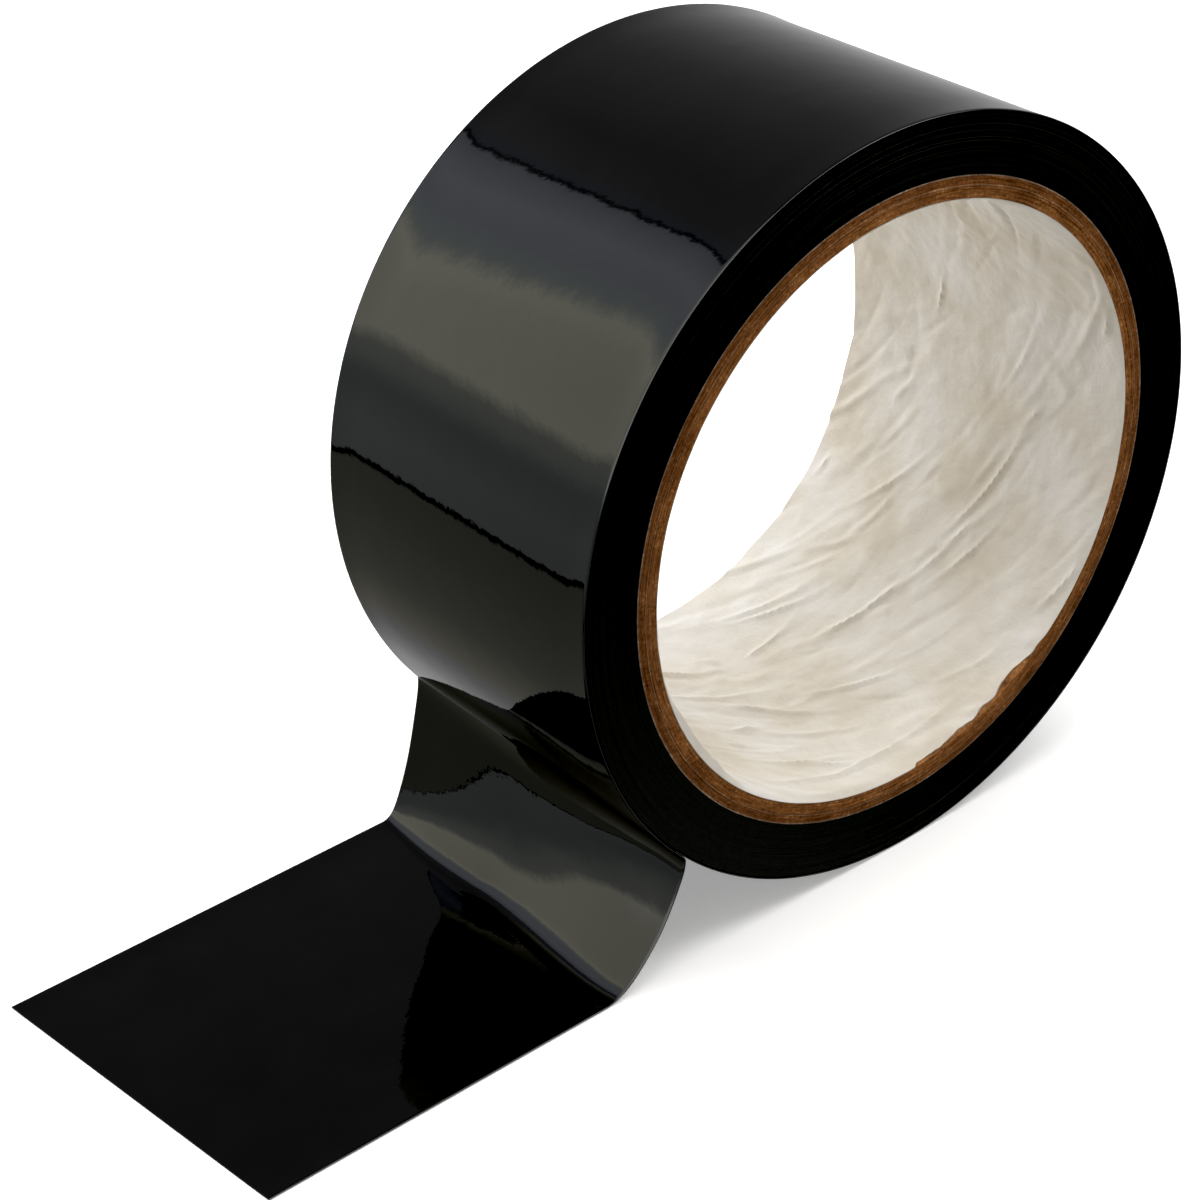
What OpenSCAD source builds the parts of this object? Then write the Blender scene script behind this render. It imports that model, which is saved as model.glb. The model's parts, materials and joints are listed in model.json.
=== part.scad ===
/* [Core] */
// Bore diameter of the paper tube, made for a 3 inch dispenser hub
core_bore_d = 76.2; // [70:0.1:80]
// Thickness of the white paper liner inside the tube
liner_t = 0.3; // [0.2:0.05:0.5]
// Number of kraft board plies wound over the liner
ply_count = 5; // [3:1:7]
// Thickness of one kraft board ply
ply_t = 0.56; // [0.4:0.02:0.8]

/* [Tape] */
// Width of the tape, which is also the length of the tube
tape_w = 49; // [36:0.5:72]
// Thickness of the glossy backing film
film_t = 0.14; // [0.08:0.01:0.25]
// Thickness of the adhesive under the film
adhesive_t = 0.06; // [0.03:0.01:0.15]
// Number of turns wound on the tube, the outermost one included
turn_count = 38; // [10:1:60]

/* [Free tail] */
// Angle below the horizontal at which the outer turn leaves the roll
peel_angle = 39.4; // [20:0.2:50]
// Radius of the hollow sweep of the riser, from the roll to the crease
riser_r = 25; // [18:1:60]
// Distance of the crease on the ground from the axis of the roll
crease_x = 48.4; // [46:0.2:60]
// Length of the flat tail, measured along its middle
tail_len = 51; // [20:1:150]
// How much longer the back edge of the tail is than its front edge
tail_skew = 5; // [0:0.5:12]
// Bare length left on each side of the peel line and of the crease
hinge_gap = 0.5; // [0.4:0.1:1]

/* [Hidden] */
// The origin is the middle of the bore, the roll's axis lies along Y, and the tail runs towards -X.
// A point in the plane of the roll's side is a list [x, z].
$fn = 180;

film_colour = "#17181b";
adhesive_colour = "#35332f";
wound_colour = "#0d0d0f";
kraft_colour = "#8c5c33";
liner_colour = "#e6e0d6";

// Radii, from the bore outwards
bore_r = core_bore_d / 2;
liner_r = bore_r + liner_t;
core_r = liner_r + ply_count * ply_t;
tape_t = film_t + adhesive_t;
wound_r = core_r + (turn_count - 1) * tape_t;
roll_r = wound_r + tape_t;

// The tail lies on the surface that the roll stands on
ground_z = -roll_r;

// The riser's glossy face is one arc, from the peel line to the crease
peel_point = roll_r * [-cos(peel_angle), -sin(peel_angle)];
crease_point = [-crease_x, ground_z + tape_t];
riser_chord = crease_point - peel_point;
chord_normal = [riser_chord[1], -riser_chord[0]] / norm(riser_chord);
arc_depth = sqrt(riser_r * riser_r - riser_chord * riser_chord / 4);
riser_centre = (peel_point + crease_point) / 2 + arc_depth * chord_normal;
function direction(v) = atan2(v[1], v[0]);
function arc_degrees(length, r) = length / r * 180 / PI;

// A ring or part of one around an axis along Y, between two radii, as wide as the tape
module band(r_in, r_out, first_angle = 0, last_angle = 360) {
    rotate([90, 0, 0])
        rotate_extrude(angle = last_angle - first_angle, start = first_angle)
            translate([r_in, -tape_w / 2])
                square([r_out - r_in, tape_w]);
}

// The white paper liner, which is the wall of the bore
module core_liner() {
    color(liner_colour)
        band(bore_r, liner_r);
}

// One kraft board ply, counted from the liner outwards
module core_ply(k) {
    color(kraft_colour)
        band(liner_r + (k - 1) * ply_t, liner_r + k * ply_t);
}

// All turns of tape under the outermost one, stuck to each other and to the tube
module wound_turns() {
    color(wound_colour)
        band(core_r, wound_r);
}

// One layer of the outermost turn, which starts just past the peel line and ends on it
module outer_turn(r_in, r_out) {
    peel_line = 180 + peel_angle;
    band(r_in, r_out, peel_line + arc_degrees(hinge_gap, roll_r), peel_line + 360);
}

module outer_turn_adhesive() {
    color(adhesive_colour)
        outer_turn(wound_r, wound_r + adhesive_t);
}

module outer_turn_film() {
    color(film_colour)
        outer_turn(wound_r + adhesive_t, roll_r);
}

// One layer of the riser, the tape that hangs between the peel line and the crease
module riser(r_in, r_out) {
    gap = arc_degrees(hinge_gap, riser_r);
    translate([riser_centre[0], 0, riser_centre[1]])
        band(
            r_in,
            r_out,
            direction(crease_point - riser_centre) + gap,
            direction(peel_point - riser_centre) - gap
        );
}

module riser_adhesive() {
    color(adhesive_colour)
        riser(riser_r + film_t, riser_r + tape_t);
}

module riser_film() {
    color(film_colour)
        riser(riser_r, riser_r + film_t);
}

// One layer of the flat tail, whose cut end is not square to its edges
module tail(bottom_z, top_z) {
    near_x = -crease_x - hinge_gap;
    far_x = -crease_x - tail_len;
    translate([0, 0, bottom_z])
        linear_extrude(height = top_z - bottom_z)
            polygon([
                [near_x, -tape_w / 2],
                [near_x, tape_w / 2],
                [far_x - tail_skew / 2, tape_w / 2],
                [far_x + tail_skew / 2, -tape_w / 2]
            ]);
}

module tail_adhesive() {
    color(adhesive_colour)
        tail(ground_z, ground_z + adhesive_t);
}

module tail_film() {
    color(film_colour)
        tail(ground_z + adhesive_t, ground_z + tape_t);
}

core_liner();
for (k = [1 : ply_count])
    core_ply(k);
wound_turns();
outer_turn_adhesive();
outer_turn_film();
riser_adhesive();
riser_film();
tail_adhesive();
tail_film();
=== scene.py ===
import json
import math

import bpy
import numpy as np
from mathutils import Matrix, Vector


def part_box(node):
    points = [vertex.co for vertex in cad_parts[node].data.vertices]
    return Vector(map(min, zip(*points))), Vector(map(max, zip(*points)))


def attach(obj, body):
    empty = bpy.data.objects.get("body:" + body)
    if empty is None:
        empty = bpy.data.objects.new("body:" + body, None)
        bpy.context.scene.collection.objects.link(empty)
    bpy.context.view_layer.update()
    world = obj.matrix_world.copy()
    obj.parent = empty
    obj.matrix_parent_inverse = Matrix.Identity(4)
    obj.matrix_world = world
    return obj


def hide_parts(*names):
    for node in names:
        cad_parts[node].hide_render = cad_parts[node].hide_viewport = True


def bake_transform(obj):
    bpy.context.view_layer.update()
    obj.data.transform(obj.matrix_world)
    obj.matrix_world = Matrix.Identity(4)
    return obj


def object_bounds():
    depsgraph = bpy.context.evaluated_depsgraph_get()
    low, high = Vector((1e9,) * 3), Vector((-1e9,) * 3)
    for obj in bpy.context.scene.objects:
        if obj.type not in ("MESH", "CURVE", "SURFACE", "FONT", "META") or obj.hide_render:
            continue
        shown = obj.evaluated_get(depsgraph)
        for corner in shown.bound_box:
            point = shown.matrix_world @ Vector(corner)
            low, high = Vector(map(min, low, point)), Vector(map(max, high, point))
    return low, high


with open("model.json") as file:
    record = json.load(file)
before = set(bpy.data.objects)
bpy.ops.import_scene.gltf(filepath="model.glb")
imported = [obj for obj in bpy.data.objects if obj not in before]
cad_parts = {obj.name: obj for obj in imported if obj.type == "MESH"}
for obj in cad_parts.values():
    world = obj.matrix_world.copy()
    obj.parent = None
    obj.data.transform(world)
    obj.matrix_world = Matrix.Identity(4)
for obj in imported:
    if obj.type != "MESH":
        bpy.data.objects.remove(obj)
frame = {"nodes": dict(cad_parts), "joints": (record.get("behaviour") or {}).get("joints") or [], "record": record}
cad_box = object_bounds()

MM = 0.001

# ---------------------------------------------------------------- sizes, all from the frame

MOUNTS = {mount["name"]: mount for mount in frame["record"]["mounts"]}
JOINTS = {joint["name"]: joint for joint in frame["joints"]}
PLY_NODES = sorted(name for name in frame["nodes"] if name.startswith("core_ply_"))

BORE_R = MOUNTS["core_bore"]["dims"]["r_mm"] * MM
HALF_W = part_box("wound_turns")[1].y
LINER_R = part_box("core_liner")[1].x
CORE_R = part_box(PLY_NODES[-1])[1].x
ROLL_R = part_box("outer_turn_film")[1].x
TAPE_T = ROLL_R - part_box("wound_turns")[1].x
GROUND_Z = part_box("tail_adhesive")[0].z
FLAT_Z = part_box("tail_film")[1].z
FILM_T = FLAT_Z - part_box("tail_adhesive")[1].z
TURNS = round((ROLL_R - CORE_R) / TAPE_T)
TAIL_BACK_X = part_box("tail_film")[0].x

PEEL = Vector(JOINTS["peel_lift"]["pos_m"])
PEEL_ANGLE = math.atan2(PEEL.z, PEEL.x)

# ---------------------------------------------------------------- small tools

RIPPLE_WAVES = 24
SHARP_ANGLE = math.radians(35)


def smooth(t):
    """Eases from 0 to 1 as t goes from 0 to 1."""
    t = np.clip(t, 0, 1)
    return t * t * (3 - 2 * t)


def bump(x, centre, width):
    """A soft hill of height 1 around centre."""
    return np.exp(-(((x - centre) / width) ** 2))


def around(angle, centre):
    """The angle from centre, between half a turn back and half a turn on."""
    return (angle - centre + math.pi) % (2 * math.pi) - math.pi


def ripple(angle, y, seed, turns, wavelength):
    """Smooth noise near -1 to 1 on a cylinder, periodic in angle.
    turns is the largest number of waves around it, wavelength the shortest wave along y."""
    rng = np.random.default_rng(seed)
    total = 0
    for _ in range(RIPPLE_WAVES):
        n = rng.integers(-turns, turns + 1)
        k = rng.uniform(-1, 1) * 2 * math.pi / wavelength
        total = total + np.cos(n * angle + k * y + rng.uniform(0, 2 * math.pi))
    return total * math.sqrt(2 / RIPPLE_WAVES) / 2


def new_object(name, points, faces, material, uv=None):
    """A smooth-shaded mesh object, with sharp edges where its faces turn by more than SHARP_ANGLE."""
    mesh = bpy.data.meshes.new(name)
    mesh.from_pydata(points.tolist(), [], faces.tolist())
    mesh.materials.append(material)
    if uv is not None:
        layer = mesh.uv_layers.new(name="UVMap")
        corners = np.zeros(len(mesh.loops), dtype=np.int32)
        mesh.loops.foreach_get("vertex_index", corners)
        layer.data.foreach_set("uv", uv[corners].ravel())
    mesh.shade_smooth()
    mesh.set_sharp_from_angle(angle=SHARP_ANGLE)
    obj = bpy.data.objects.new(name, mesh)
    bpy.context.scene.collection.objects.link(obj)
    return obj


def grid_faces(rows, columns, closed=False, offset=0, flip=False):
    """Quads of a grid of points numbered row by row from offset. A closed grid joins up both ways."""
    r = np.arange(rows if closed else rows - 1)[:, None]
    c = np.arange(columns if closed else columns - 1)[None, :]
    r2, c2 = (r + 1) % rows, (c + 1) % columns
    corners = [r * columns + c, r * columns + c2, r2 * columns + c2, r2 * columns + c]
    if flip:
        corners.reverse()
    quads = np.stack([np.broadcast_to(corner, (r.size, c.size)) for corner in corners], -1)
    return quads.reshape(-1, 4) + offset


def sheet_solid(name, face, back, uv, material):
    """A thin closed solid between two grids of points."""
    rows, columns = face.shape[:2]
    size = rows * columns
    faces = [grid_faces(rows, columns), grid_faces(rows, columns, offset=size, flip=True)]
    first_row, first_column = np.arange(columns - 1), np.arange(rows - 1) * columns
    rims = (
        (first_column, columns, True),
        (first_column + columns - 1, columns, False),
        (first_row, 1, False),
        (first_row + (rows - 1) * columns, 1, True),
    )
    for start, step, turned in rims:
        quad = np.stack([start, start + size, start + size + step, start + step], -1)
        faces.append(quad[:, ::-1] if turned else quad)
    points = np.concatenate([face.reshape(-1, 3), back.reshape(-1, 3)])
    uv = np.concatenate([uv.reshape(-1, 2)] * 2)
    return new_object(name, points, np.concatenate(faces), material, uv)


def ring_solid(name, radius, y, angle, material):
    """A ring about the Y axis. radius and y are (angles, points of the closed section)."""
    x = radius * np.cos(angle)[:, None]
    z = radius * np.sin(angle)[:, None]
    points = np.stack([x, y, z], -1)
    rows, columns = radius.shape
    uv = np.stack([np.broadcast_to(angle[:, None], radius.shape) * CORE_R, radius], -1)
    faces = grid_faces(rows, columns, closed=True)
    return new_object(name, points.reshape(-1, 3), faces, material, uv.reshape(-1, 2))


# ---------------------------------------------------------------- materials


def new_material(name):
    """A material whose surface is one Principled shader, with its nodes and links."""
    material = bpy.data.materials.new(name)
    material.use_nodes = True
    nodes, links = material.node_tree.nodes, material.node_tree.links
    nodes.clear()
    shader = nodes.new("ShaderNodeBsdfPrincipled")
    output = nodes.new("ShaderNodeOutputMaterial")
    links.new(shader.outputs["BSDF"], output.inputs["Surface"])
    return material, nodes, links, shader


def mapped(nodes, links, scale, source="Object"):
    """Texture coordinates in metres, stretched by scale."""
    coordinates = nodes.new("ShaderNodeTexCoord")
    mapping = nodes.new("ShaderNodeMapping")
    mapping.inputs["Scale"].default_value = scale
    links.new(coordinates.outputs[source], mapping.inputs["Vector"])
    return mapping.outputs["Vector"]


def noise(nodes, links, vector, scale, detail=4, roughness=0.55):
    """A noise texture's value, near 0.5, at the places that vector gives."""
    node = nodes.new("ShaderNodeTexNoise")
    node.inputs["Scale"].default_value = scale
    node.inputs["Detail"].default_value = detail
    node.inputs["Roughness"].default_value = roughness
    links.new(vector, node.inputs["Vector"])
    return node.outputs["Fac"]


def ramp(nodes, links, value, stops):
    """A colour that runs through the stops, each a position from 0 to 1 and a colour."""
    node = nodes.new("ShaderNodeValToRGB")
    elements = node.color_ramp.elements
    while len(elements) < len(stops):
        elements.new(0.5)
    for element, (position, colour) in zip(elements, stops):
        element.position = position
        element.color = (*colour, 1)
    links.new(value, node.inputs["Fac"])
    return node.outputs["Color"]


def spread(nodes, links, value, low, high):
    """Maps a value from 0..1 onto low..high."""
    node = nodes.new("ShaderNodeMapRange")
    node.inputs["To Min"].default_value = low
    node.inputs["To Max"].default_value = high
    links.new(value, node.inputs["Value"])
    return node.outputs["Result"]


def bumped(nodes, links, shader, height, strength, distance, normal=None):
    """Puts a bump on the shader, on top of an earlier bump's normal if one is given."""
    node = nodes.new("ShaderNodeBump")
    node.inputs["Strength"].default_value = strength
    node.inputs["Distance"].default_value = distance
    links.new(height, node.inputs["Height"])
    if normal is not None:
        links.new(normal, node.inputs["Normal"])
    links.new(node.outputs["Normal"], shader.inputs["Normal"])
    return node.outputs["Normal"]


def math_node(nodes, links, operation, *values):
    """One sum on numbers and sockets."""
    node = nodes.new("ShaderNodeMath")
    node.operation = operation
    for socket, value in zip(node.inputs, values):
        if isinstance(value, (int, float)):
            socket.default_value = value
        else:
            links.new(value, socket)
    return node.outputs["Value"]


def multiplied(nodes, links, base, layer, factor):
    """The base colour darkened or brightened by a layer, as strongly as factor says."""
    mix = nodes.new("ShaderNodeMix")
    mix.data_type = "RGBA"
    mix.blend_type = "MULTIPLY"
    mix.inputs["Factor"].default_value = factor
    links.new(base, mix.inputs["A"])
    links.new(layer, mix.inputs["B"])
    return mix.outputs["Result"]


def film_material():
    """Smooth black film: a sharp gloss, broken up by faint haze and hair-fine scuffs."""
    material, nodes, links, shader = new_material("tape_film")
    strip = mapped(nodes, links, (1, 1, 1), "UV")
    haze = noise(nodes, links, strip, 90, 3)
    fine = noise(nodes, links, mapped(nodes, links, (1, 6, 1), "UV"), 900, 2)
    wobble = noise(nodes, links, strip, 330, 3)
    colour = ramp(nodes, links, haze, [(0.3, (0.0008, 0.0008, 0.0010)), (0.7, (0.0018, 0.0018, 0.0019))])
    links.new(colour, shader.inputs["Base Color"])
    links.new(spread(nodes, links, haze, 0.02, 0.045), shader.inputs["Roughness"])
    shader.inputs["Specular IOR Level"].default_value = 0.5
    wavy = bumped(nodes, links, shader, wobble, 1, 0.016 * MM)
    bumped(nodes, links, shader, fine, 0.03, 0.02 * MM, wavy)
    return material


def adhesive_material():
    """Dark, blotchy adhesive with a dull sheen."""
    material, nodes, links, shader = new_material("tape_adhesive")
    strip = mapped(nodes, links, (1, 1, 1), "UV")
    blotch = noise(nodes, links, strip, 260, 5)
    colour = ramp(nodes, links, blotch, [(0.3, (0.010, 0.010, 0.010)), (0.7, (0.022, 0.021, 0.020))])
    links.new(colour, shader.inputs["Base Color"])
    links.new(spread(nodes, links, blotch, 0.35, 0.6), shader.inputs["Roughness"])
    bumped(nodes, links, shader, blotch, 0.5, 0.03 * MM)
    return material


def wound_edge_material():
    """The slit edges of the wound turns: matte black, each turn a little different."""
    material, nodes, links, shader = new_material("wound_tape")
    rings = mapped(nodes, links, (8, 2600, 1), "UV")
    turns = noise(nodes, links, rings, 1, 2)
    grit = noise(nodes, links, mapped(nodes, links, (1, 1, 1)), 1500, 3)
    colour = ramp(nodes, links, turns, [(0.3, (0.0090, 0.0097, 0.0086)), (0.7, (0.0115, 0.0124, 0.0110))])
    links.new(colour, shader.inputs["Base Color"])
    links.new(spread(nodes, links, grit, 0.42, 0.68), shader.inputs["Roughness"])
    shader.inputs["Specular IOR Level"].default_value = 0.12
    bumped(nodes, links, shader, grit, 0.3, 0.02 * MM)
    return material


def kraft_material():
    """Brown kraft board: fibres that run around the tube, a paler inner half with a pale line where two
    of its plies meet, a painted highlight along its outer edge, and small pale nicks."""
    material, nodes, links, shader = new_material("kraft_board")
    coordinates = nodes.new("ShaderNodeTexCoord")
    parts = nodes.new("ShaderNodeSeparateXYZ")
    links.new(coordinates.outputs["UV"], parts.inputs["Vector"])
    wander = noise(nodes, links, mapped(nodes, links, (60, 60, 1), "UV"), 1, 2)
    drift = math_node(nodes, links, "MULTIPLY", wander, 0.15 * MM)
    radius = math_node(nodes, links, "ADD", parts.outputs["Y"], drift)
    depth = math_node(nodes, links, "SUBTRACT", radius, LINER_R)
    share = math_node(nodes, links, "DIVIDE", depth, CORE_R - LINER_R)
    base = ramp(
        nodes,
        links,
        share,
        [
            (0.0, (0.24, 0.106, 0.038)),
            (0.06, (0.33, 0.134, 0.040)),
            (0.5, (0.30, 0.115, 0.032)),
            (0.55, (0.15, 0.060, 0.019)),
            (0.585, (0.38, 0.215, 0.105)),
            (0.63, (0.235, 0.088, 0.025)),
            (0.95, (0.205, 0.076, 0.021)),
            # The last stop is a painted highlight: a thin pale line along the board's outer edge.
            (1.0, (0.38, 0.275, 0.20)),
        ],
    )
    fibres = noise(nodes, links, mapped(nodes, links, (260, 3600, 1), "UV"), 1, 5, 0.65)
    grain = noise(nodes, links, mapped(nodes, links, (1, 1, 1)), 2200, 4, 0.7)
    patch = noise(nodes, links, mapped(nodes, links, (1, 1, 1)), 160, 3)
    streaks = ramp(
        nodes,
        links,
        fibres,
        [(0.36, (0.4, 0.35, 0.3)), (0.5, (1.0, 1.0, 1.0)), (0.64, (1.5, 1.65, 1.8))],
    )
    specks = ramp(
        nodes,
        links,
        grain,
        [
            (0.36, (0.4, 0.35, 0.3)),
            (0.46, (1.0, 1.0, 1.0)),
            (0.57, (1.0, 1.0, 1.0)),
            (0.66, (2.0, 2.4, 2.9)),
        ],
    )
    wash = ramp(nodes, links, patch, [(0.36, (0.66, 0.62, 0.58)), (0.64, (1.2, 1.2, 1.2))])
    for layer in (streaks, specks, wash):
        base = multiplied(nodes, links, base, layer, 0.8)
    links.new(base, shader.inputs["Base Color"])
    shader.inputs["Roughness"].default_value = 0.82
    shader.inputs["Specular IOR Level"].default_value = 0.2
    bumped(nodes, links, shader, grain, 0.7, 0.05 * MM)
    return material


def liner_material():
    """White lining paper with faint grey blotches, fibres and a few dark specks."""
    material, nodes, links, shader = new_material("liner_paper")
    body = mapped(nodes, links, (1, 1, 1))
    cloud = noise(nodes, links, body, 70, 4)
    fibre = noise(nodes, links, body, 1800, 4, 0.7)
    base = ramp(
        nodes,
        links,
        cloud,
        [(0.36, (0.66, 0.60, 0.51)), (0.5, (0.72, 0.68, 0.61)), (0.64, (0.76, 0.735, 0.70))],
    )
    cells = nodes.new("ShaderNodeTexVoronoi")
    cells.inputs["Scale"].default_value = 60
    links.new(body, cells.inputs["Vector"])
    flecks = ramp(nodes, links, cells.outputs["Distance"], [(0.016, (0.03, 0.025, 0.02)), (0.022, (1, 1, 1))])
    links.new(multiplied(nodes, links, base, flecks, 1), shader.inputs["Base Color"])
    shader.inputs["Roughness"].default_value = 0.7
    shader.inputs["Specular IOR Level"].default_value = 0.3
    crumple = noise(nodes, links, body, 380, 5, 0.6)
    rough = math_node(nodes, links, "MULTIPLY_ADD", crumple, 9.0, fibre)
    bumped(nodes, links, shader, rough, 0.5, 0.05 * MM)
    return material


# ---------------------------------------------------------------- the tube

# Angles about the tube's axis, from +X towards +Z.
LINER_BARE_FROM = math.radians(-87)
LINER_BARE_TO = math.radians(-46)
LINER_LOOSE_AT = math.radians(-150)
LINER_FOLD_AT = math.radians(-95)
LINER_STAND_OFF = 1.3 * MM
LINER_FOLD_DEPTH = 5 * MM
LINER_GAP = 0.02 * MM
LINER_ROWS = 720
LINER_COLUMNS = 111
LINER_REAR_STEP = 11
CREASE_SLANT = math.radians(154)
CREASE_SLANT_SPREAD = math.radians(12)
CREASE_RIDGES = 300
CREASE_DEEPEST = 0.1 * MM


def build_liner(material):
    """The paper liner: creased, standing off the board at one place, with a torn front edge."""
    angle = np.linspace(-math.pi, math.pi, LINER_ROWS, endpoint=False)[:, None]
    across = np.linspace(0, 1, LINER_COLUMNS)[None, :]
    front, back = liner_edges(angle)
    y = front + (back - front) * across
    depth = y + HALF_W
    loose = bump(around(angle, LINER_LOOSE_AT), 0, 0.27)
    stand_off = LINER_STAND_OFF * loose * smooth(depth / (1.4 * MM)) * np.exp(-depth / (10 * MM))
    pressed = 0.17 * MM * np.exp(-depth / (1.2 * MM))
    held = smooth(depth / (1.5 * MM))
    radius = BORE_R + 0.05 * MM + pressed - stand_off - held * creases(angle, y)
    rear_y = y[:, ::LINER_REAR_STEP]
    rear = np.full(rear_y.shape, LINER_R - LINER_GAP)
    section_radius = np.concatenate([rear, radius[:, ::-1]], -1)
    section_y = np.concatenate([rear_y, y[:, ::-1]], -1)
    return ring_solid("liner_paper", section_radius, section_y, angle[:, 0], material)


def liner_edges(angle):
    """The liner's front edge, scalloped where it is torn back from the board, and its back edge."""
    tear = 0.05 + 0.03 * ripple(angle, 0, 3, 9, 1) + 0.04 * np.abs(ripple(angle, 0, 4, 60, 1))
    bare = smooth(around(angle, LINER_BARE_FROM) / 0.03) * smooth((LINER_BARE_TO - angle) / 0.25)
    scallops = np.abs(ripple(angle, 0, 5, 26, 1)) + 0.35 * np.abs(ripple(angle, 0, 8, 90, 1))
    tear = tear + bare * (0.35 + 0.6 * scallops)
    front = -HALF_W + np.clip(tear, 0.02, 2.2) * MM
    back = HALF_W - (0.25 + 0.2 * ripple(angle, 0, 6, 30, 1)) * MM
    return front, back


def creases(angle, y):
    """Heights of the liner's creases: soft dimples, one fold near the front edge, and slanted ridges."""
    height = 0.12 * MM * (1 + slanted_ripple(angle, y, 21, 8))
    height = height + 0.13 * MM * np.abs(slanted_ripple(angle, y, 23, 22))
    height = height - 0.17 * MM * np.abs(ripple(angle, y, 25, 26, 9 * MM))
    height = height + 0.08 * MM * np.abs(ripple(angle, y, 22, 60, 4 * MM))
    fold_depth = LINER_FOLD_DEPTH + 0.4 * MM * ripple(angle, 0, 24, 12, 1)
    fold = bump(y + HALF_W, fold_depth, 0.4 * MM)
    height = height + 0.5 * MM * fold * bump(around(angle, LINER_FOLD_AT), 0, 0.35)
    height = height + ridges(angle, y)
    return np.maximum(height, -CREASE_DEEPEST)


def ridges(angle, y):
    """Thin seeded ridges and grooves, each slightly curved, all near the same slant."""
    rng = np.random.default_rng(12)
    height = 0
    for _ in range(CREASE_RIDGES):
        centre_angle = rng.uniform(-math.pi, math.pi)
        centre_y = rng.uniform(-HALF_W, HALF_W)
        slant = rng.normal(CREASE_SLANT, CREASE_SLANT_SPREAD)
        half_length = rng.uniform(1.5, 8) * MM
        width = rng.uniform(0.28, 0.65) * MM
        size = rng.uniform(0.08, 0.45) * MM * rng.choice([-0.7, 1])
        u = around(angle, centre_angle) * BORE_R
        v = y - centre_y
        along = u * math.cos(slant) + v * math.sin(slant)
        off = -u * math.sin(slant) + v * math.cos(slant) + 0.05 * along**2 / half_length
        height = height + size * bump(off, 0, width) * bump(along, 0, half_length)
    return height


def slanted_ripple(angle, y, seed, turns):
    """Like ripple, but every wave runs along the slant of the liner's creases."""
    rng = np.random.default_rng(seed)
    total = 0
    for _ in range(RIPPLE_WAVES):
        n = rng.integers(1, turns + 1)
        k = -n / BORE_R / math.tan(CREASE_SLANT) * rng.uniform(0.75, 1.3)
        total = total + np.cos(n * angle + k * y + rng.uniform(0, 2 * math.pi))
    return total * math.sqrt(2 / RIPPLE_WAVES) / 2


PLY_ROWS = 480
PLY_SEAM = 0.004 * MM
PLY_SOFT = 0.035 * MM
PLY_RECESS = 0.08 * MM
MIDDLE_PLY_PROUD = 0.05 * MM


def build_plies(material):
    """The kraft plies, pressed together, each with its own slightly uneven ends."""
    angle = np.linspace(-math.pi, math.pi, PLY_ROWS, endpoint=False)
    ply_t = (CORE_R - LINER_R) / len(PLY_NODES)
    pieces = []
    for k, node in enumerate(PLY_NODES):
        inner, outer = LINER_R + k * ply_t, LINER_R + (k + 1) * ply_t
        front, back = (HALF_W - ply_recess(angle, k, side) for side in (1, 2))
        radii = [inner + PLY_SEAM, inner + PLY_SOFT, outer - PLY_SOFT, outer - PLY_SEAM]
        radius = np.tile(radii + radii[::-1], (angle.size, 1))
        y = np.stack(
            [
                -front + PLY_SOFT,
                -front,
                -front,
                -front + PLY_SOFT,
                back - PLY_SOFT,
                back,
                back,
                back - PLY_SOFT,
            ],
            -1,
        )
        piece = ring_solid(f"kraft_ply_{k + 1}", radius, y, angle, material)
        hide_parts(node)
        pieces.append(piece)
    return pieces


def ply_recess(angle, k, side):
    """How far ply k's end lies in from the roll's side. The middle ply stands out a little."""
    proud = MIDDLE_PLY_PROUD if k == 2 else 0
    slow = ripple(angle, 0, 40 + 2 * k + side, 14, 1)
    quick = ripple(angle, 0, 60 + 2 * k + side, 90, 1)
    return PLY_RECESS - proud + 0.02 * MM * (slow + 0.7 * quick)


# ---------------------------------------------------------------- the wound tape

WOUND_ROWS = 400
WOUND_RECESS = 0.07 * MM


def build_wound_turns(material):
    """The turns under the outermost one, as one spiral pack with a ridge on each side for each turn."""
    angle = np.linspace(0, 2 * math.pi, WOUND_ROWS, endpoint=False)
    lap = ((PEEL_ANGLE - angle) / (2 * math.pi)) % 1
    rng = np.random.default_rng(7)
    radii, heights = [], []
    for turn in range(TURNS - 1, 0, -1):
        top = ROLL_R - TAPE_T * (turn + lap)
        step = 0.008 * MM * rng.normal() + 0.008 * MM * ripple(angle, 0, 200 + turn, 5, 1)
        for down, drop in ((0.95, 0.01), (0.5, 0.0), (0.05, 0.01)):
            radii.append(np.maximum(top - down * TAPE_T, CORE_R + 0.005 * MM * (TURNS - turn)))
            heights.append(np.clip(WOUND_RECESS + step + drop * MM, 0.01 * MM, 0.3 * MM))
    radius = np.stack(radii, -1)
    recess = np.stack(heights, -1)
    radius = np.concatenate([radius, radius[:, ::-1]], -1)
    y = np.concatenate([-HALF_W + recess, HALF_W - recess[:, ::-1]], -1)
    return ring_solid("wound_tape", radius, y, angle, material)


# How far the hanging tape leans out from straight down, in degrees, at shares of its length from
# the peel to the ground: along its back edge, its middle and its front edge.
LEAN_BACK = (
    (0, 2),
    (0.06, 10),
    (0.12, 14),
    (0.42, 16),
    (0.62, 21),
    (0.82, 26),
    (0.89, 32),
    (0.95, 60),
    (1, 90),
)
LEAN_MIDDLE = (
    (0, 0),
    (0.1, 8),
    (0.2, 21),
    (0.58, 28),
    (0.7, 33),
    (0.78, 42),
    (0.85, 60),
    (1, 90),
)
LEAN_FRONT = (
    (0, 6),
    (0.05, 18),
    (0.12, 26),
    (0.36, 31),
    (0.47, 38),
    (0.65, 44.5),
    (0.79, 52),
    (0.88, 66),
    (1, 90),
)
LEAN_MIDDLE_Y = 0.1 * 2 * HALF_W
PEEL_SKEW = math.radians(6)
CUT_SKEW = 5 * MM
PEEL_BEND_R = 0.9 * MM
PEEL_BEND_STATIONS = 10
OUTER_TURN_LAPS = 1.006
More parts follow.
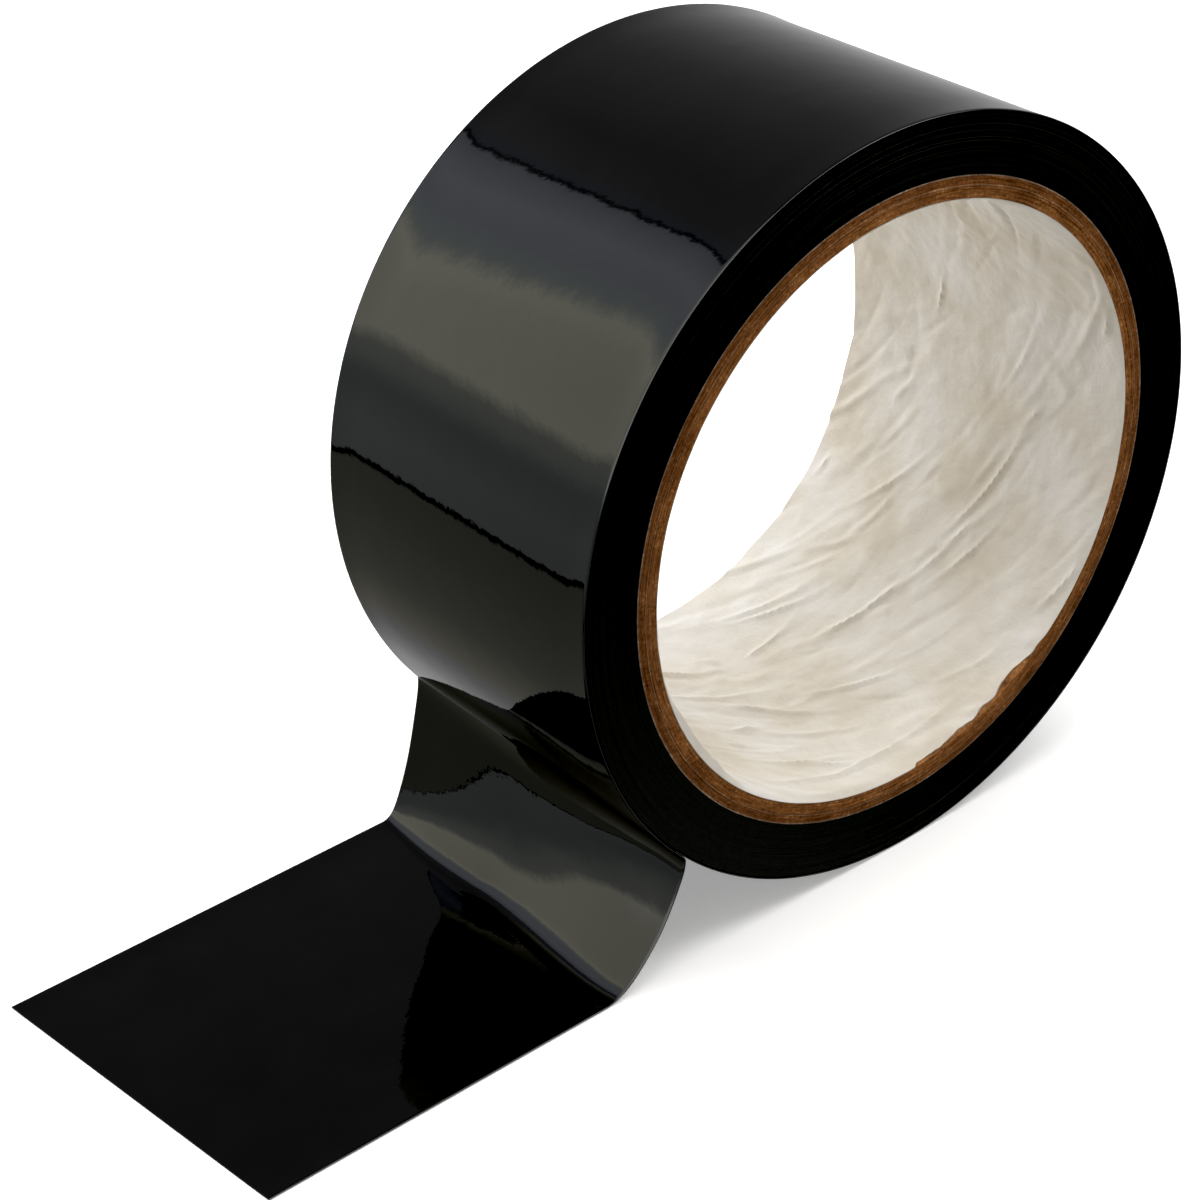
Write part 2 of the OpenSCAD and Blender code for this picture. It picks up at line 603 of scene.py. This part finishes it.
OUTER_TURN_STATIONS = 620
HANG_STEPS = 120
HANG_SOFTENING = 3
HANG_SPLIT = 36
FLAT_STATIONS = 90


def lean(share, y):
    """The lean in radians of the hanging tape, for shares of its length and places across its width."""
    back, middle, front = (
        np.interp(share, *zip(*knots)) for knots in (LEAN_BACK, LEAN_MIDDLE, LEAN_FRONT)
    )
    to_back = np.clip((y - LEAN_MIDDLE_Y) / (HALF_W - LEAN_MIDDLE_Y), 0, 1) ** 1.3
    to_front = smooth((LEAN_MIDDLE_Y - y) / (HALF_W + LEAN_MIDDLE_Y)) ** 0.85
    return np.radians(middle + (back - middle) * to_back + (front - middle) * to_front)


def softened(values, reach):
    """A running average down the rows, with the two ends kept."""
    padded = np.concatenate([np.repeat(values[:1], reach, 0), values, np.repeat(values[-1:], reach, 0)])
    total = np.cumsum(np.concatenate([0 * padded[:1], padded]), 0)
    width = 2 * reach + 1
    return (total[width:] - total[:-width]) / width


def walk(x, z, heading, length):
    """Walks from x, z over the length, with the headings given at even steps."""
    middle = (heading[1:] + heading[:-1]) / 2
    step = length / (len(heading) - 1)
    xs = x + np.concatenate([0 * heading[:1], np.cumsum(step * np.cos(middle), 0)])
    zs = z + np.concatenate([0 * heading[:1], np.cumsum(step * np.sin(middle), 0)])
    return [xs, zs, np.sin(heading), -np.cos(heading)]


def strip_path(y):
    """The route of the tape's glossy face for each y: the outer turn, the bend at the peel, the hanging
    tape and the flat tail. Each stretch is [x, z, normal x, normal z], all of shape (stations, y)."""
    share = y / (2 * HALF_W)
    peel = PEEL_ANGLE - PEEL_SKEW * share

    lap = np.linspace(OUTER_TURN_LAPS, 0, OUTER_TURN_STATIONS)[:, None]
    radius = ROLL_R - TAPE_T * lap
    theta = peel - 2 * math.pi * lap
    turn = [radius * np.cos(theta), radius * np.sin(theta), np.cos(theta), np.sin(theta)]

    hang_share = np.linspace(0, 1, HANG_STEPS + 1)[:, None]
    hang_heading = -math.pi / 2 - softened(lean(hang_share, y), HANG_SOFTENING)
    hang_heading[-1] = -math.pi
    down = peel + math.pi / 2
    leave = hang_heading[0]
    bend_heading = down + (leave - down) * np.linspace(0, 1, PEEL_BEND_STATIONS)[:, None]
    bend = walk(turn[0][-1], turn[1][-1], bend_heading, (down - leave) * PEEL_BEND_R)

    middles = (hang_heading[1:] + hang_heading[:-1]) / 2
    length = (bend[1][-1] - FLAT_Z) / -np.sin(middles).mean(0)
    hang = walk(bend[0][-1], bend[1][-1], hang_heading, length)

    end_x = TAIL_BACK_X + (0.5 - share) * CUT_SKEW
    flat_x = hang[0][-1] + (end_x - hang[0][-1]) * np.linspace(0, 1, FLAT_STATIONS)[:, None]
    flat = [flat_x, FLAT_Z + 0 * flat_x, 0 * flat_x, 1 + 0 * flat_x]
    return turn, bend, hang, flat


def joined(stretches):
    """Joins stretches end to end, leaving out each one's repeated first station."""
    return [
        np.concatenate([stretches[0][i]] + [stretch[i][1:] for stretch in stretches[1:]])
        for i in range(4)
    ]


def build_strip(name, stretches, y, top, bottom, material):
    """One layer of the strip, between two depths below the glossy face."""
    x, z, nx, nz = joined(stretches)
    ys = np.broadcast_to(y, x.shape)
    lift = film_waves(x, ys, z)
    points = []
    for depth in (top, bottom):
        offset = lift - depth
        if depth == 0:
            offset = offset - rounded_edge(ys)
        points.append(np.stack([x + nx * offset, ys, z + nz * offset], -1))
    steps = np.hypot(np.diff(x, axis=0), np.diff(z, axis=0))
    along = np.concatenate([np.zeros_like(x[:1]), np.cumsum(steps, 0)])
    uv = np.stack([along, ys], -1)
    return sheet_solid(name, points[0], points[1], uv, material)


def film_waves(x, y, z):
    """Waviness of the film, on the roll and on the free tail."""
    angle = np.arctan2(z, x)
    slow = 0.006 * MM * ripple(angle, y, 31, 6, 14 * MM)
    quick = 0.0045 * MM * ripple(angle, y, 32, 44, 5 * MM)
    edge = 0.11 * MM * np.clip((np.abs(y) / HALF_W - 0.8) / 0.2, 0, 1) ** 2.5
    return slow + quick + edge


EDGE_ROUND = 0.4 * MM
EDGE_DROP = 0.12 * MM
EDGE_BAND = 0.42 * MM
EDGE_SHARES = np.array([0.17, 0.4, 0.6, 0.76, 0.88, 0.96, 1])
INNER_COLUMNS = 58


def rounded_edge(y):
    """How far the film's face falls away beside its two long edges."""
    past = np.clip((np.abs(y) - (HALF_W - EDGE_ROUND)) / EDGE_ROUND, 0, 1)
    return EDGE_DROP * (1 - np.sqrt(1 - 0.98 * past**2))


def strip_columns():
    """Places across the strip, closer together beside its two long edges."""
    inner = HALF_W - EDGE_BAND
    edge = inner + (HALF_W - inner) * EDGE_SHARES
    return np.concatenate([-edge[::-1], np.linspace(-inner, inner, INNER_COLUMNS), edge])


def build_tape(film, adhesive):
    """The strip's two layers, each in two pieces that meet on the hanging tape."""
    y = strip_columns()
    turn, bend, hang, flat = strip_path(y)
    upper = [turn, bend, [part[: HANG_SPLIT + 1] for part in hang]]
    lower = [[part[HANG_SPLIT:] for part in hang], flat]
    layers = (
        ("film", 0, FILM_T, film),
        ("adhesive", FILM_T, TAPE_T, adhesive),
    )
    for layer, top, bottom, material in layers:
        turn_piece = build_strip(f"outer_strip_{layer}", upper, y, top, bottom, material)
        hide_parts(f"outer_turn_{layer}", f"riser_{layer}")
        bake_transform(turn_piece)
        tail_piece = build_strip(f"free_tail_{layer}", lower, y, top, bottom, material)
        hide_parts(f"tail_{layer}")
        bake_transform(tail_piece)


# ---------------------------------------------------------------- floor, light and camera

CAMERA_AZIMUTH = math.radians(-37.185)
CAMERA_ELEVATION = math.radians(31.84)
CAMERA_ROLL = math.radians(3.46)
CAMERA_LENS = 86.1
CAMERA_DISTANCE = 349.24 * MM
CAMERA_AIM_X = -1 * MM  # from the middle of the object's box
CAMERA_AIM_Z = -0.238  # as a share of the roll's radius
SENSOR_WIDTH = 36


def add_camera():
    """The camera at the photo's viewing angle, slightly rolled."""
    away = Vector(
        (
            math.sin(CAMERA_AZIMUTH) * math.cos(CAMERA_ELEVATION),
            -math.cos(CAMERA_AZIMUTH) * math.cos(CAMERA_ELEVATION),
            math.sin(CAMERA_ELEVATION),
        )
    )
    middle_x = (cad_box[0][0] + cad_box[1][0]) / 2
    aim = Vector((middle_x + CAMERA_AIM_X, 0, CAMERA_AIM_Z * ROLL_R))
    place = aim + away * CAMERA_DISTANCE
    right = (-away).cross(Vector((0, 0, 1))).normalized()
    up = right.cross(-away)
    turned_right = math.cos(CAMERA_ROLL) * right - math.sin(CAMERA_ROLL) * up
    turned_up = math.cos(CAMERA_ROLL) * up + math.sin(CAMERA_ROLL) * right
    data = bpy.data.cameras.new("camera")
    data.lens = CAMERA_LENS
    data.sensor_width = SENSOR_WIDTH
    data.clip_start = 0.01
    data.clip_end = 50
    camera = bpy.data.objects.new("camera", data)
    matrix = Matrix((turned_right, turned_up, away)).transposed().to_4x4()
    matrix.translation = place
    camera.matrix_world = matrix
    bpy.context.scene.collection.objects.link(camera)
    bpy.context.scene.camera = camera


FLOOR_HALF_SIDE = 1.4
FLOOR_GLOW = 0.3
FLOOR_GAP = 0.02 * MM


def add_floor():
    """A plain pale floor, which the gloss doesn't mirror."""
    material, nodes, links, shader = new_material("floor")
    tone = noise(nodes, links, mapped(nodes, links, (1, 1, 1)), 30, 3)
    links.new(
        ramp(nodes, links, tone, [(0.3, (0.93, 0.93, 0.93)), (0.7, (0.95, 0.95, 0.95))]),
        shader.inputs["Base Color"],
    )
    shader.inputs["Roughness"].default_value = 0.9
    shader.inputs["Emission Color"].default_value = (1, 1, 1, 1)
    shader.inputs["Emission Strength"].default_value = FLOOR_GLOW
    side = FLOOR_HALF_SIDE
    floor = flat_rectangle("floor", -side, side, -side, side, GROUND_Z - FLOOR_GAP, material)
    floor.visible_glossy = False
    floor.visible_diffuse = False


def flat_rectangle(name, left, right, front, back, z, material):
    """One level face."""
    corners = np.array([(left, front, z), (right, front, z), (right, back, z), (left, back, z)])
    return new_object(name, corners, np.array([[0, 1, 2, 3]]), material)


def glow_material(name):
    """A material that only glows, with its nodes and links."""
    material = bpy.data.materials.new(name)
    material.use_nodes = True
    nodes, links = material.node_tree.nodes, material.node_tree.links
    nodes.clear()
    emission = nodes.new("ShaderNodeEmission")
    output = nodes.new("ShaderNodeOutputMaterial")
    links.new(emission.outputs["Emission"], output.inputs["Surface"])
    return material, nodes, links, emission


def degrees_ramp(nodes, links, angle, stops):
    """A ramp with its stops given in degrees, for an angle in radians."""
    first, last = stops[0][0], stops[-1][0]
    node = nodes.new("ShaderNodeMapRange")
    node.inputs["From Min"].default_value = math.radians(first)
    node.inputs["From Max"].default_value = math.radians(last)
    links.new(angle, node.inputs["Value"])
    stops = [((degrees - first) / (last - first), colour) for degrees, colour in stops]
    return ramp(nodes, links, node.outputs["Result"], stops)


def mixed(nodes, links, factor, a, b):
    """Colour a where factor is 0 and colour b where it is 1."""
    mix = nodes.new("ShaderNodeMix")
    mix.data_type = "RGBA"
    links.new(factor, mix.inputs["Factor"])
    links.new(a, mix.inputs["A"])
    links.new(b, mix.inputs["B"])
    return mix.outputs["Result"]


# Faint tints of the room's daylight.
VIOLET = (0.95, 1.0, 1.11)
SLATE = (0.92, 1.0, 0.97)
OLIVE = (0.97, 1.0, 0.86)
WARM = (1.02, 1.0, 0.84)
PLAIN = (1.0, 1.0, 1.0)

BACKDROP_R = 5
ROOM_R = 3


def glow(level, tint=PLAIN):
    """A colour of the given brightness."""
    return tuple(level * part for part in tint)


def add_dome(name, radius, material):
    """A sphere all round the set."""
    bpy.ops.mesh.primitive_uv_sphere_add(segments=64, ring_count=32, radius=radius)
    dome = bpy.context.object
    dome.name = name
    dome.data.materials.append(material)
    return dome


def add_backdrop():
    """A plain pale backdrop all round, which only the camera sees."""
    material, nodes, links, emission = glow_material("backdrop")
    emission.inputs["Color"].default_value = (1, 1, 1, 1)
    backdrop = add_dome("backdrop", BACKDROP_R, material)
    backdrop.visible_diffuse = False
    backdrop.visible_glossy = False
    backdrop.visible_transmission = False
    backdrop.visible_shadow = False


def only_mirrored(obj):
    """Part of the room around the set, which is only seen mirrored in the gloss."""
    obj.visible_camera = False
    obj.visible_diffuse = False
    obj.visible_shadow = False
    obj.visible_transmission = False


def room_angles(nodes, links):
    """The compass angle (0 is +Y, 90 degrees is +X) and the height angle of the room's points, in radians."""
    coordinates = nodes.new("ShaderNodeTexCoord")
    normalise = nodes.new("ShaderNodeVectorMath")
    normalise.operation = "NORMALIZE"
    links.new(coordinates.outputs["Object"], normalise.inputs[0])
    parts = nodes.new("ShaderNodeSeparateXYZ")
    links.new(normalise.outputs["Vector"], parts.inputs["Vector"])
    azimuth = math_node(nodes, links, "ARCTAN2", parts.outputs["X"], parts.outputs["Y"])
    elevation = math_node(nodes, links, "ARCSINE", parts.outputs["Z"])
    return azimuth, elevation


def room_walls(nodes, links, azimuth, elevation):
    """The walls: dim on the left, paler on the right, and in front with a soft window high up."""
    left_wall = degrees_ramp(
        nodes,
        links,
        elevation,
        [
            (-60, glow(0.35, OLIVE)),
            (-16, glow(0.5, SLATE)),
            (-8, glow(0.58, SLATE)),
            (0, glow(0.55, SLATE)),
            (5, glow(0.66, SLATE)),
            (45, glow(0.3)),
            (60, glow(0.22)),
        ],
    )
    right_wall = degrees_ramp(
        nodes,
        links,
        elevation,
        [
            (-30, glow(0.85)),
            (-17, glow(0.56)),
            (-5, glow(0.51)),
            (7, glow(0.4)),
            (19, glow(0.28)),
            (29, glow(0.23)),
        ],
    )
    front_wall = degrees_ramp(
        nodes,
        links,
        elevation,
        [
            (-30, glow(0.05)),
            (0, glow(0.1)),
            (28, glow(0.3)),
            (38, glow(5)),
            (60, glow(5)),
            (68, glow(0.3)),
        ],
    )
    to_right = degrees_ramp(
        nodes,
        links,
        azimuth,
        [(-10, glow(0)), (8, glow(1)), (75, glow(1)), (100, glow(0))],
    )
    to_front = degrees_ramp(
        nodes,
        links,
        azimuth,
        [(-165, glow(1)), (-145, glow(0)), (80, glow(0)), (105, glow(1))],
    )
    walls = mixed(nodes, links, to_right, left_wall, right_wall)
    return mixed(nodes, links, to_front, walls, front_wall)


def room_window(nodes, links, azimuth):
    """The window on the left, from the bright pane to its dark frame."""
    return degrees_ramp(
        nodes,
        links,
        azimuth,
        [
            (-150, glow(3.2)),
            (-75, glow(3.0)),
            (-56, glow(1.66, WARM)),
            (-42, glow(1.66, WARM)),
            (-37, glow(1.75, WARM)),
            (-34, glow(1.95, WARM)),
            (-31, glow(1.2, SLATE)),
            (-26, glow(1.02, VIOLET)),
            (-20, glow(1.07, VIOLET)),
            (-12.5, glow(0.78, VIOLET)),
            (-10.7, glow(0.7, VIOLET)),
            (-10.0, glow(0.15)),
            (-9.15, glow(0.15)),
            (-8.5, glow(0.3, VIOLET)),
        ],
    )


def window_share(nodes, links, azimuth, elevation):
    """1 where the window is and 0 beside it and under its sill."""
    above_sill = degrees_ramp(
        nodes,
        links,
        elevation,
        [(2, glow(0)), (8, glow(0.25)), (11, glow(1)), (20, glow(1))],
    )
    between_sides = degrees_ramp(
        nodes,
        links,
        azimuth,
        [(-150, glow(0)), (-140, glow(1)), (-8.3, glow(1)), (-4, glow(0))],
    )
    return math_node(nodes, links, "MULTIPLY", above_sill, between_sides)


def add_room():
    """The dim room that the film mirrors."""
    material, nodes, links, emission = glow_material("room")
    azimuth, elevation = room_angles(nodes, links)
    walls = room_walls(nodes, links, azimuth, elevation)
    window = room_window(nodes, links, azimuth)
    share = window_share(nodes, links, azimuth, elevation)
    links.new(mixed(nodes, links, share, walls, window), emission.inputs["Color"])
    only_mirrored(add_dome("room", ROOM_R, material))


# The table top's ends along X in millimetres, and its front and back in metres.
TABLE_LEFT = -180
TABLE_RIGHT = 40
TABLE_FRONT = -0.3
TABLE_BACK = 0.4
TABLE_GAP = 0.01 * MM


def add_table():
    """The dim table top as the film mirrors it, with a dark far edge."""
    material, nodes, links, emission = glow_material("table")
    coordinates = nodes.new("ShaderNodeTexCoord")
    parts = nodes.new("ShaderNodeSeparateXYZ")
    links.new(coordinates.outputs["Object"], parts.inputs["Vector"])
    reach = nodes.new("ShaderNodeMapRange")
    reach.inputs["From Min"].default_value = TABLE_LEFT * MM
    reach.inputs["From Max"].default_value = TABLE_RIGHT * MM
    links.new(parts.outputs["X"], reach.inputs["Value"])
    stops = [
        (TABLE_LEFT, glow(0.1)),
        (-168, glow(0.1)),
        (-164, glow(0.33, OLIVE)),
        (-94, glow(0.31, OLIVE)),
        (-70, glow(0.29, OLIVE)),
        (-56, glow(0.34, WARM)),
        (-49, glow(0.38)),
        (-38, glow(0.55)),
        (0, glow(0.2)),
        (TABLE_RIGHT, glow(0.1)),
    ]
    stops = [((x - TABLE_LEFT) / (TABLE_RIGHT - TABLE_LEFT), colour) for x, colour in stops]
    links.new(ramp(nodes, links, reach.outputs["Result"], stops), emission.inputs["Color"])
    left, right = TABLE_LEFT * MM, TABLE_RIGHT * MM
    z = GROUND_Z - TABLE_GAP
    only_mirrored(flat_rectangle("table", left, right, TABLE_FRONT, TABLE_BACK, z, material))


def add_panel(name, azimuth, elevation, distance, side, power):
    """A square white light that faces the roll, from a compass angle (0 is +Y, 90 degrees is +X) and a
    height angle, both in degrees."""
    azimuth, elevation = math.radians(azimuth), math.radians(elevation)
    direction = Vector(
        (
            math.sin(azimuth) * math.cos(elevation),
            math.cos(azimuth) * math.cos(elevation),
            math.sin(elevation),
        )
    )
    data = bpy.data.lights.new(name, "AREA")
    data.shape = "SQUARE"
    data.size = side
    data.energy = power
    panel = bpy.data.objects.new(name, data)
    panel.location = direction * distance
    panel.rotation_euler = direction.to_track_quat("Z", "Y").to_euler()
    panel.visible_camera = False
    panel.visible_glossy = False
    bpy.context.scene.collection.objects.link(panel)


def add_light():
    """Fill from all round that is strongest from the back, a large light overhead and a small one near
    the roll at the front right."""
    world = bpy.data.worlds.new("fill")
    bpy.context.scene.world = world
    world.use_nodes = True
    nodes, links = world.node_tree.nodes, world.node_tree.links
    coordinates = nodes.new("ShaderNodeTexCoord")
    parts = nodes.new("ShaderNodeSeparateXYZ")
    links.new(coordinates.outputs["Generated"], parts.inputs["Vector"])
    half = math_node(nodes, links, "MULTIPLY_ADD", parts.outputs["Y"], 0.5, 0.5)
    fill = ramp(
        nodes,
        links,
        half,
        [
            (0.0, (0.15, 0.14, 0.125)),
            (0.5, (0.55, 0.53, 0.50)),
            (0.75, (0.9, 0.89, 0.87)),
            (1.0, (2.7, 2.75, 2.8)),
        ],
    )
    links.new(fill, nodes["Background"].inputs["Color"])
    world.cycles_visibility.glossy = False
    add_panel("overhead", azimuth=0, elevation=80, distance=1.2, side=1.4, power=13)
    add_panel("right", azimuth=120, elevation=45, distance=0.3, side=0.15, power=0.3)


BLACK_LEVEL = 0.01


def set_tone():
    """Plain colours, with the deepest greys pressed down to black."""
    view = bpy.context.scene.view_settings
    view.view_transform = "Standard"
    view.use_curve_mapping = True
    view.curve_mapping.black_level = (BLACK_LEVEL, BLACK_LEVEL, BLACK_LEVEL)
    view.curve_mapping.update()


def main():
    """Builds the pieces and then the set around them."""
    film = film_material()
    adhesive = adhesive_material()
    kraft = kraft_material()

    liner = build_liner(liner_material())
    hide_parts("core_liner")
    wound = build_wound_turns(wound_edge_material())
    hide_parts("wound_turns")
    plies = build_plies(kraft)
    for piece in [liner, wound, *plies]:
        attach(piece, "roll")
    build_tape(film, adhesive)

    add_camera()
    add_floor()
    add_backdrop()
    add_room()
    add_table()
    add_light()
    set_tone()


main()
